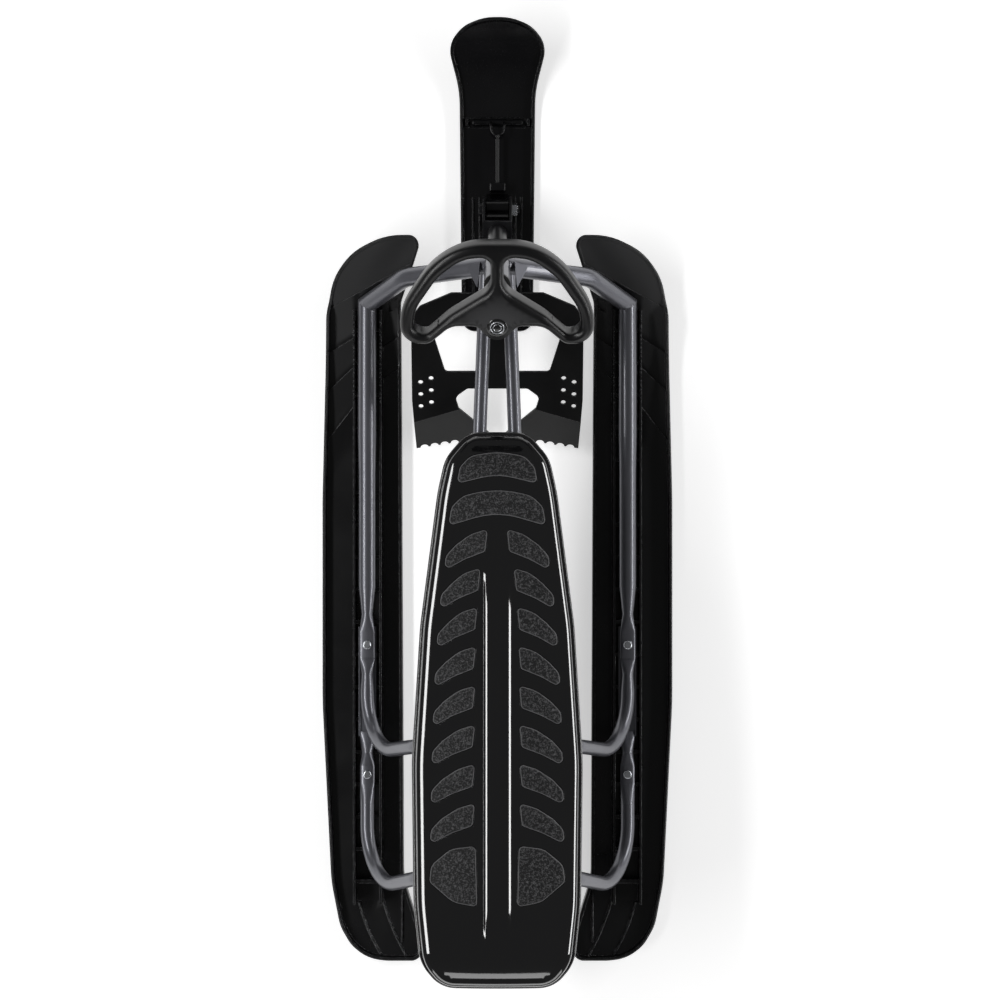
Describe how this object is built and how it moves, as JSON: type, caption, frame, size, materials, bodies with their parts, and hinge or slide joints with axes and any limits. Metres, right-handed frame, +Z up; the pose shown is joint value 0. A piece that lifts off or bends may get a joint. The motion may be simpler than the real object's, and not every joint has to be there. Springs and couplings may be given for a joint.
{
  "type": "snow racer sled",
  "caption": "Steerable sled: tube frame on two runners, front ski turned by a raked wheel, long padded seat, foot brake plate.",
  "frame": {"origin": "on the ground, below the middle of the sled's box", "axes": "+Y forward, along the sled; +X to the rider's right; +Z up"},
  "size_m": [0.476, 1.27, 0.3884],
  "materials": {
    "frame_paint": "gloss paint with metal flake",
    "brake_paint": "satin black paint",
    "fork_paint": "satin black paint",
    "zinc": "bright zinc plate",
    "runner_plastic": "satin",
    "ski_plastic": "satin",
    "wheel_plastic": "satin",
    "seat_gloss": "gloss",
    "pad_grain": "fine grain",
    "bush_plastic": "satin",
    "cap_plastic": "gloss",
    "cord_fabric": "woven"
  },
  "bodies": {
    "frame": {"left_runner": "runner_plastic", "right_runner": "runner_plastic", "front_cross_tube": "frame_paint", "left_side_tube": "frame_paint", "right_side_tube": "frame_paint", "front_seat_hoop": "frame_paint", "rear_seat_hoop": "frame_paint", "left_seat_rail": "frame_paint", "right_seat_rail": "frame_paint", "steering_head_tube": "frame_paint", "left_gusset": "frame_paint", "right_gusset": "frame_paint", "upper_bushing": "bush_plastic", "lower_bushing": "bush_plastic", "runner_bolts": "zinc", "brake_lugs": "frame_paint", "brake_pin": "zinc", "seat_shell": "seat_gloss", "seat_pads": "pad_grain"},
    "steering": {"steering_wheel": "wheel_plastic", "wheel_hub_cap": "cap_plastic", "steering_column": "fork_paint", "column_collar": "fork_paint", "ski_fork": "fork_paint", "ski_pivot_bolt": "fork_paint", "ski_pivot_nut": "zinc"},
    "ski": {"front_ski": "ski_plastic", "cord_housing": "ski_plastic", "tow_cord": "cord_fabric", "tow_handle": "ski_plastic"},
    "brake": {"brake_plate": "brake_paint"}
  },
  "joints": [
    {"name": "steer", "type": "hinge", "parent": "frame", "child": "steering", "pos_m": [0, 0.382, 0.045], "axis": [0, -0.5388, 0.8425], "range_deg": [-30, 30]},
    {"name": "ski_pitch", "type": "hinge", "parent": "steering", "child": "ski", "pos_m": [0, 0.382, 0.045], "axis": [1, 0, 0], "range_deg": [-12, 15]},
    {"name": "brake_press", "type": "hinge", "parent": "frame", "child": "brake", "pos_m": [0, 0.252, 0.165], "axis": [1, 0, 0], "range_deg": [0, 14], "stiffness_Nm_per_rad": 5, "springref_deg": -28.65}
  ]
}
